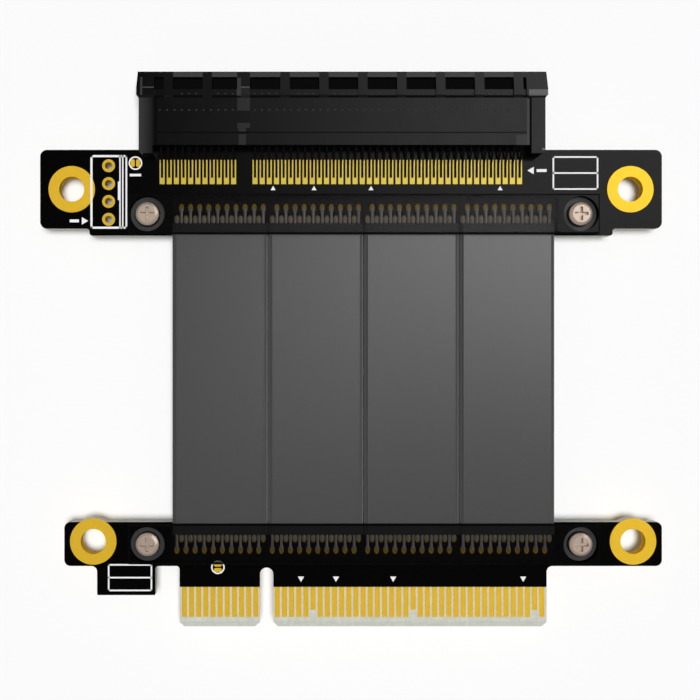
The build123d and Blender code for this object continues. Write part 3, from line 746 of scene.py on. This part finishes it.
# %% Where the contacts, the key and the rim lie
CONTACT_PITCH = 1.0 * MM
CONTACT_PAD_HALF = 0.35 * MM
KEY_FROM_FIRST = 11.5 * MM
KEY_HALF = 0.875 * MM
BODY_HALF_Z = 4.0 * MM
SKIN = 0.02 * MM
pads_low, pads_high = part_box("slot_pads_front")
SLOT_FIRST_X = pads_low.x + CONTACT_PAD_HALF
SLOT_LAST_X = pads_high.x - CONTACT_PAD_HALF
KEY_X = SLOT_FIRST_X + KEY_FROM_FIRST
HOUSING_MIDDLE_Z = (housing_low.z + housing_high.z) / 2
RIM_TOP = housing_high.z
MOUTH_Y = housing_high.y
BODY_TOP = HOUSING_MIDDLE_Z + BODY_HALF_Z
print("contacts from", round(SLOT_FIRST_X / MM, 2), "to", round(SLOT_LAST_X / MM, 2), "mm")

# %% Sizes of the windows
RIBS = 10
FIRST_RIB = 1.18 * MM
WINDOW_PITCH = 5.333 * MM
RIB_HALF = 0.64 * MM
FIRST_WINDOW = 1.3 * MM
LAST_WINDOW = 0.45 * MM
FRONT_Y = MOUTH_Y - 0.8 * MM
FLOOR_DEPTH = 1.65 * MM
FLOOR_Z = HOUSING_MIDDLE_Z + 2.9 * MM
# Width of the painted shade behind the ledges.
SHADE_LINE = 0.33 * MM
LINE_DEPTH = 0.05 * MM
LIP_BACK = 0.03 * MM
LIP_FRONT = 0.04 * MM
LIP_DROP = 0.45 * MM
LIP_RUN = 2.4 * MM


def window_spans():
    """Left and right of each window; the rib nearest the key is as wide as the key's strip."""
    ribs = []
    for i in range(RIBS):
        x = SLOT_FIRST_X + FIRST_RIB + WINDOW_PITCH * i
        near_key = abs(x - KEY_X) < RIB_HALF
        ribs.append((KEY_X - KEY_HALF, KEY_X + KEY_HALF) if near_key else (x - RIB_HALF, x + RIB_HALF))
    spans = [(left[1], right[0]) for left, right in zip(ribs, ribs[1:])]
    first, last = ribs[0][0], ribs[-1][1]
    return spans, [(first - FIRST_WINDOW, first), (last, last + LAST_WINDOW)]


def both_sides(bm):
    """Mirrors what a bmesh holds to the housing's lower side."""
    middle = Matrix.Translation(Vector((0.0, 0.0, HOUSING_MIDDLE_Z)))
    everything = [*bm.verts, *bm.edges, *bm.faces]
    bmesh.ops.mirror(bm, geom=everything, matrix=middle.inverted(), merge_dist=0.0, axis="Z")
    bmesh.ops.recalc_face_normals(bm, faces=bm.faces)


# %% Window floors and lips
def window_skins():
    """Matt floors and a line behind the ledges in painted shade, and lips with a painted highlight."""
    floors, lips = bmesh.new(), bmesh.new()
    spans, end_spans = window_spans()
    for left, right in spans + end_spans:
        plate(floors, left, right, FRONT_Y - FLOOR_DEPTH, FRONT_Y, FLOOR_Z, FLOOR_Z + SKIN)
        line_z = BODY_TOP - LINE_DEPTH
        plate(floors, left, right, RIM_BACK_Y, RIM_BACK_Y + SHADE_LINE, line_z, BODY_TOP + SKIN)
    for left, right in spans:
        lip = plate(lips, left, right, FRONT_Y + LIP_BACK, MOUTH_Y - LIP_FRONT, 0.0, SKIN)
        for vert in lip:
            vert.co.z += RIM_TOP - LIP_DROP * (1 - (MOUTH_Y - vert.co.y) / LIP_RUN)
    for bm in (floors, lips):
        both_sides(bm)
    floor_piece = make_piece("window_floors", floors, shade_black)
    lip_piece = make_piece("window_lips", lips, lip_highlight)
    faces = len(floor_piece.data.polygons), len(lip_piece.data.polygons)
    print(len(spans + end_spans), "windows,", faces[0], "and", faces[1], "faces")


# Painted shade: matt black skins on the window floors and behind the ledges.
shade_black = grained(
    "shade_black", 0.0035, 0.9, specular=0.0, grain_mm=0.1, depth_mm=0.004, strength=0.6
)
# Painted highlight on the lips in front of the windows.
lip_highlight = grained("lip_highlight", 0.04, 0.5, specular=0.18, grain_mm=0.12)
window_skins()

# %% [markdown]
# ## Witness marks on the housing
# Each contact's cell leaves two witnesses on the outside: a pip on the ledge and a dimple on the
# panel, one contact pitch apart. A flattened dome stands for each, and its paler grey is a
# painted highlight. The strip over the key carries a painted sheen in three parts: a field behind
# the rim, a crossbar and a stem. The ridge on the key's block has the same painted sheen.

# %% Pips and dimples: half sizes along X, Y and Z
PIP_HALVES = (0.15 * MM, 0.13 * MM, 0.06 * MM)
PIP_Y = RIM_BACK_Y + 0.55 * MM
PIP_Z = RIM_TOP - 0.35 * MM
PIP_CLEAR = 0.2 * MM
DIMPLE_HALVES = (0.16 * MM, 0.14 * MM, 0.04 * MM)
DIMPLE_Y = RIM_BACK_Y - 1.7 * MM


def dome(bm, x, y, z, halves):
    """A flattened dome on the housing."""
    made = bmesh.ops.create_uvsphere(bm, u_segments=8, v_segments=4, radius=1.0)["verts"]
    bmesh.ops.scale(bm, verts=made, vec=Vector(halves))
    move(bm, made, x, y, z)


def contact_places():
    """X of each contact in the slot."""
    count = round((SLOT_LAST_X - SLOT_FIRST_X) / CONTACT_PITCH) + 1
    places = [SLOT_FIRST_X + CONTACT_PITCH * i for i in range(count)]
    return [x for x in places if abs(x - KEY_X) > CONTACT_PITCH]


def witness_marks():
    """Both rows of marks, on the housing's upper and lower side."""
    bm = bmesh.new()
    spans, _ = window_spans()
    for x in contact_places():
        if any(left + PIP_CLEAR < x < right - PIP_CLEAR for left, right in spans):
            dome(bm, x, PIP_Y, PIP_Z, PIP_HALVES)
        dome(bm, x, DIMPLE_Y, BODY_TOP, DIMPLE_HALVES)
    both_sides(bm)
    piece = make_piece("witness_marks", bm, witness_highlight, 60)
    print("contacts in a row:", len(contact_places()), "mark faces:", len(piece.data.polygons))


# Painted highlight: the witness domes are paler than the housing.
witness_highlight = grained("witness_highlight", 0.02, 0.4, specular=0.2, grain_mm=0.15)
witness_marks()

# %% The key strip
PANEL_BACK_Y = MOUTH_Y - 8.3 * MM
BLOCK_BACK_Y = MOUTH_Y - 10.05 * MM
STRIP_Z = BODY_TOP + 0.12 * MM
HEEL_Z = BODY_TOP - 0.15 * MM
FIELD_Y = (RIM_BACK_Y - 1.8 * MM, RIM_BACK_Y - 0.05 * MM)
CROSSBAR_Y = (PANEL_BACK_Y + 0.5 * MM, RIM_BACK_Y - 3.5 * MM)
STEM_X = (KEY_X - 0.7 * MM, KEY_X + 0.32 * MM)
BLOCK_GAP = 0.3 * MM


def key_strip():
    """Painted sheen on the strip over the key, and on the ridge of the key's block."""
    bm = bmesh.new()
    strip_x = (KEY_X - KEY_HALF, KEY_X + KEY_HALF)
    plate(bm, *strip_x, *FIELD_Y, STRIP_Z, STRIP_Z + SKIN)
    plate(bm, *strip_x, *CROSSBAR_Y, STRIP_Z, STRIP_Z + SKIN)
    plate(bm, *STEM_X, PANEL_BACK_Y, CROSSBAR_Y[0], STRIP_Z, STRIP_Z + SKIN)
    plate(bm, *STEM_X, BLOCK_BACK_Y, PANEL_BACK_Y - BLOCK_GAP, HEEL_Z, HEEL_Z + SKIN)
    both_sides(bm)
    piece = make_piece("key_strip_sheen", bm, sheen_black)
    print("key strip faces:", len(piece.data.polygons))


# Painted sheen: the key strip and the ridge are paler than the housing.
sheen_black = grained("sheen_black", 0.018, 0.25, specular=0.2, grain_mm=0.15)
key_strip()

# %% [markdown]
# ## White ink on the boards
# Silk-screened ink is a film a few hundredths of a millimetre thick. Lines are flat bars,
# circles are rings, and a triangle is a three-sided cone whose two ends are equally wide.

# %% Ink helpers
INK_T = 0.03 * MM
FIELD_LINE = 0.22 * MM
RING_SEGMENTS = 48


def ink_bar(bm, x_from, x_to, y_from, y_to, on=TOP):
    """A flat printed bar between two corners, in metres, on the board or on what lies on it."""
    plate(bm, x_from, x_to, y_from, y_to, on, on + INK_T)


def ink_ring(bm, x, y, radius, line):
    """A printed ring of this radius and line width."""
    inner, top = radius - line, TOP + INK_T
    outline = ((inner, TOP), (inner, top), (radius, top), (radius, TOP))
    corners = [bm.verts.new((x + r, y, z)) for r, z in outline]
    edges = [bm.edges.new((corners[i], corners[(i + 1) % 4])) for i in range(4)]
    spin(bm, corners + edges, x, y, 2 * math.pi, RING_SEGMENTS, merge=True)


def ink_triangle(bm, x, y, radius, turn):
    """A small printed triangle that points this many degrees round from the right."""
    made = bmesh.ops.create_cone(
        bm, cap_ends=True, segments=3, radius1=radius, radius2=radius, depth=INK_T
    )["verts"]
    turned = Matrix.Rotation(math.radians(turn - 90), 3, "Z")
    bmesh.ops.rotate(bm, verts=made, cent=Vector(), matrix=turned)
    move(bm, made, x, y, TOP + INK_T / 2)


def ink_field(bm, x_from, x_to, y_from, y_to):
    """An empty box with a line across its middle."""
    middle = (y_from + y_to) / 2
    for y in (y_from, middle - FIELD_LINE / 2, y_to - FIELD_LINE):
        ink_bar(bm, x_from, x_to, y, y + FIELD_LINE)
    for x in (x_from, x_to - FIELD_LINE):
        ink_bar(bm, x, x + FIELD_LINE, y_from, y_to)


# %% [markdown]
# ## The header's frame and the plain marks
# A white frame marks where a small four-way socket would sit, with three upright lines for the
# socket's back. The frame's left line runs over the gold of the mounting hole, so that part lies
# a little higher. A ring goes round each test spot. Small triangles point at every step in the
# row of contacts, and two empty boxes are fields to write a date in by hand.

# %% The header's frame
header_low, header_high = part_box("header_lands")
HEADER_X = (header_low.x + header_high.x) / 2
FRAME_X = (HEADER_X - 2.55 * MM, HEADER_X + 2.6 * MM)
FRAME_Y = (header_low.y - 0.42 * MM, header_high.y + 0.6 * MM)
FRAME_LINE = 0.3 * MM
SOCKET_LINES = ((1.5, 0.18), (1.88, 0.2), (2.36, 0.24))
SOCKET_BAR = (1.3 * MM, 1.5 * MM, 4.0 * MM, 6.6 * MM)


def line_over_land(bm, x):
    """The part of an upright line that lies on the mounting hole's land."""
    low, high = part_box("slot_board_mount_lands")
    radius, middle = (high.y - low.y) / 2, (high.y + low.y) / 2
    from_centre = x + FRAME_LINE / 2 - low.x - radius
    chord = math.sqrt(radius**2 - from_centre**2)
    ink_bar(bm, x, x + FRAME_LINE, middle - chord, middle + chord, on=high.z)


def header_frame(bm):
    """The frame, its upright lines and the short bar between them."""
    left, right = FRAME_X
    low, high = FRAME_Y
    ink_bar(bm, left, left + FRAME_LINE, low, high)
    line_over_land(bm, left)
    ink_bar(bm, left, right, high - FRAME_LINE, high)
    ink_bar(bm, left, right, low, low + FRAME_LINE)
    for offset, width in SOCKET_LINES:
        x = HEADER_X + offset * MM
        ink_bar(bm, x, x + width * MM, low, high)
    x_from, x_to, y_from, y_to = SOCKET_BAR
    ink_bar(bm, HEADER_X + x_from, HEADER_X + x_to, low + y_from, low + y_to)
    print("header frame", round((right - left) / MM, 2), "by", round((high - low) / MM, 2), "mm")


# %% Sizes of the other marks, and how far they lie from the key, the notch, an edge or a spot
PAD_TRIANGLES_X = (4.03, 9.75, 17.73, 35.79)
PAD_TRIANGLES_Y = board_high.y - 5.45 * MM
PAD_TRIANGLE_R = 0.4 * MM
FINGER_TRIANGLES_X = (4.8, 9.7, 17.7, 35.9)
FINGER_TRIANGLES_Y = FINGERS_TOP_Y + 1.2 * MM
FINGER_TRIANGLE_R = 0.5 * MM
SLOT_FIELD_X = (28.2 * MM, 34.6 * MM)
SLOT_FIELD_Y = (board_high.y - 5.6 * MM, board_high.y - 0.9 * MM)
CARD_FIELD_X = (card_low.x + 6.1 * MM, card_low.x + 12.3 * MM)
CARD_FIELD_Y = (FINGERS_TOP_Y - 0.6 * MM, FINGERS_TOP_Y + 3.2 * MM)
SPOT_R = 0.65 * MM
HALF_SPOT = 0.525 * MM
SPOT_RING_R = 0.95 * MM
SPOT_RING_LINE = 0.2 * MM
SPOT_BAR_X = (-0.8 * MM, 0.8 * MM)
SPOT_BAR_Y = (-1.85 * MM, -1.5 * MM)
ARROW_R = 0.6 * MM
ARROW_HALF_LINE = 0.2 * MM
LAST_PAD_ARROW = (SLOT_LAST_X + 1.7 * MM, board_high.y - 2.9 * MM)
HEADER_ARROW = (FRAME_X[0] - 0.9 * MM, FRAME_Y[0] + 1.1 * MM)


# %% The other marks
def arrow(bm, place, turn, bar_from_mm, bar_to_mm):
    """A triangle with a short bar behind it."""
    x, y = place
    ink_triangle(bm, x, y, ARROW_R, turn)
    bar_low, bar_high = y - ARROW_HALF_LINE, y + ARROW_HALF_LINE
    ink_bar(bm, x + bar_from_mm * MM, x + bar_to_mm * MM, bar_low, bar_high)


def other_marks(bm):
    """Rings, triangles, empty fields, arrows and a bar."""
    spots_low, spots_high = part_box("test_pads")
    slot_spot = (spots_low.x + SPOT_R, spots_high.y - HALF_SPOT)
    card_spot = (spots_high.x - HALF_SPOT, spots_low.y + SPOT_R)
    for x, y in (slot_spot, card_spot):
        ink_ring(bm, x, y, SPOT_RING_R, SPOT_RING_LINE)
    for x in PAD_TRIANGLES_X:
        ink_triangle(bm, KEY_X + x * MM, PAD_TRIANGLES_Y, PAD_TRIANGLE_R, 90)
    for x in FINGER_TRIANGLES_X:
        ink_triangle(bm, NOTCH_X + x * MM, FINGER_TRIANGLES_Y, FINGER_TRIANGLE_R, -90)
    ink_field(bm, *SLOT_FIELD_X, *SLOT_FIELD_Y)
    ink_field(bm, *CARD_FIELD_X, *CARD_FIELD_Y)
    arrow(bm, LAST_PAD_ARROW, 180, 0.7, 2.1)
    arrow(bm, HEADER_ARROW, 0, -2.0, -0.7)
    x, y = slot_spot
    ink_bar(bm, x + SPOT_BAR_X[0], x + SPOT_BAR_X[1], y + SPOT_BAR_Y[0], y + SPOT_BAR_Y[1])


# %% Print the boards
def print_boards():
    """All the ink on the two boards' upper faces."""
    bm = bmesh.new()
    header_frame(bm)
    other_marks(bm)
    bmesh.ops.recalc_face_normals(bm, faces=bm.faces)
    piece = make_piece("board_print", bm, ink)
    print("ink faces:", len(piece.data.polygons))


ink = grained("white_ink", 0.86, 0.6, specular=0.3, grain_mm=0.08, strength=0.5)
print_boards()

# %% [markdown]
# ## Floor, light and camera
# The floor is plain and pale, and turns to pure white away from the object. One soft lamp
# overhead gives the small shadows at the boards' edges. The world is three things in one: a
# faint light from all round, what glossy faces mirror, and the plain white that the camera sees
# behind the object. The mirrored room is brightest overhead, to the right and the back. The
# camera looks straight down from a little left of the cable's middle, and a small shift of its
# lens brings the cable back to the middle of the picture.

# %% Floor
FLOOR_HALF = 1.5
FLOOR_WHITE = 0.965
FLOOR_FADE = (0.06, 0.12)


def choose(tree, factor, otherwise, chosen):
    """One shader where the factor is nought, and another where it is one."""
    mix = tree.nodes.new("ShaderNodeMixShader")
    for socket, source in zip(mix.inputs, (factor, otherwise, chosen)):
        tree.links.new(source, socket)
    return mix.outputs["Shader"]


def floor_stage():
    """A pale floor under the object."""
    bm = bmesh.new()
    bmesh.ops.create_grid(bm, x_segments=1, y_segments=1, size=FLOOR_HALF)
    floor = new_object("floor", bm)
    material, tree, shader = new_finish("floor_white", grey_tone(FLOOR_WHITE), 0.9, specular=0.0)
    from_middle = tree.nodes.new("ShaderNodeVectorMath")
    from_middle.operation = "LENGTH"
    tree.links.new(object_point(tree), from_middle.inputs[0])
    far = curve(tree, from_middle.outputs["Value"], *FLOOR_FADE)
    rays = tree.nodes.new("ShaderNodeLightPath").outputs
    looked_at = compare(tree, "MAXIMUM", rays["Is Camera Ray"], rays["Is Glossy Ray"])
    white = tree.nodes.new("ShaderNodeEmission").outputs["Emission"]
    faded = choose(tree, compare(tree, "MULTIPLY", far, looked_at), shader.outputs["BSDF"], white)
    tree.links.new(faded, tree.nodes["Material Output"].inputs["Surface"])
    floor.data.materials.append(material)
    print("floor", 2 * FLOOR_HALF, "m wide")


floor_stage()

# %% Lamp
LAMP_HEIGHT = 0.6
LAMP_SIZE = 0.16
LAMP_WATTS = 3.4


def soft_lamp():
    """A square soft lamp that looks straight down at the object."""
    data = bpy.data.lights.new("overhead", "AREA")
    data.shape = "SQUARE"
    data.size = LAMP_SIZE
    data.energy = LAMP_WATTS
    lamp = bpy.data.objects.new("overhead", data)
    lamp.location = (0.0, 0.0, LAMP_HEIGHT)
    lamp.rotation_euler = (-lamp.location).to_track_quat("-Z", "Y").to_euler()
    lamp.visible_glossy = False
    lamp.visible_camera = False
    bpy.context.scene.collection.objects.link(lamp)
    print("lamp of", LAMP_WATTS, "W at", LAMP_HEIGHT, "m")


soft_lamp()

# %% World
FILL = 0.08
MIRRORED_OVERHEAD = 3.7
MIRRORED_WALLS = 0.5
MIRRORED_WINDOW = 3.0
RISE_X = (-0.13, 0.27)
RISE_Y = (-0.13, 0.16)
RISE_Z = (0.55, 0.8)
WINDOW_X = (0.42, 0.6)


def mirrored_strength(tree):
    """How bright the mirrored room is in each direction."""
    point = tree.nodes.new("ShaderNodeTexCoord").outputs["Generated"]
    direction = axes_of(tree, point)
    across = curve(tree, direction["X"], *RISE_X, smooth=True)
    back = curve(tree, direction["Y"], *RISE_Y, smooth=True)
    corner = compare(tree, "MULTIPLY", across, back)
    overhead = compare(tree, "MULTIPLY", corner, MIRRORED_OVERHEAD)
    steep = curve(tree, direction["Z"], *RISE_Z, smooth=True)
    walls = compare(tree, "MULTIPLY", compare(tree, "SUBTRACT", 1.0, steep), MIRRORED_WALLS)
    side = curve(tree, direction["X"], *WINDOW_X, smooth=True)
    window = compare(tree, "MULTIPLY", side, MIRRORED_WINDOW)
    seen = compare(tree, "ADD", compare(tree, "MULTIPLY", overhead, steep), walls)
    return compare(tree, "ADD", seen, compare(tree, "MULTIPLY", window, back))


def studio_world():
    """Faint light from all round, a room for glossy faces to mirror, and white behind it all."""
    world = bpy.data.worlds.new("studio")
    bpy.context.scene.world = world
    world.use_nodes = True
    tree = world.node_tree
    room = tree.nodes["Background"]
    mirror_room = tree.nodes.new("ShaderNodeBackground")
    white_room = tree.nodes.new("ShaderNodeBackground")
    room.inputs["Strength"].default_value = FILL
    for lit in (room, white_room):
        lit.inputs["Color"].default_value = (1.0, 1.0, 1.0, 1.0)
    feed(tree, mirror_room.inputs["Strength"], mirrored_strength(tree))
    rays = tree.nodes.new("ShaderNodeLightPath").outputs
    around = choose(tree, rays["Is Glossy Ray"], *(b.outputs["Background"] for b in (room, mirror_room)))
    seen = choose(tree, rays["Is Camera Ray"], around, white_room.outputs["Background"])
    tree.links.new(seen, tree.nodes["World Output"].inputs["Surface"])
    print("world", world.name, "with", len(tree.nodes), "nodes")


studio_world()

# %% Camera
SHIFT = 0.10
LENS_MM = 58.8
SENSOR_MM = 36.0
CAMERA_ABOVE = 160 * MM
PICTURE_WIDTH = 98 * MM
AIM = (-0.14 * MM, 0.264 * MM)
camera_data = bpy.data.cameras.new("camera")
camera = bpy.data.objects.new("camera", camera_data)
bpy.context.scene.collection.objects.link(camera)
camera_data.sensor_width = SENSOR_MM
camera_data.lens = LENS_MM
camera_data.shift_x = SHIFT
camera_data.clip_start = 0.01
camera_data.clip_end = 10.0
camera.location = (AIM[0] - SHIFT * PICTURE_WIDTH, AIM[1], TOP + CAMERA_ABOVE)
bpy.context.scene.camera = camera
bpy.context.scene.view_settings.view_transform = "Standard"
print("camera", round(CAMERA_ABOVE / MM), "mm above the boards")
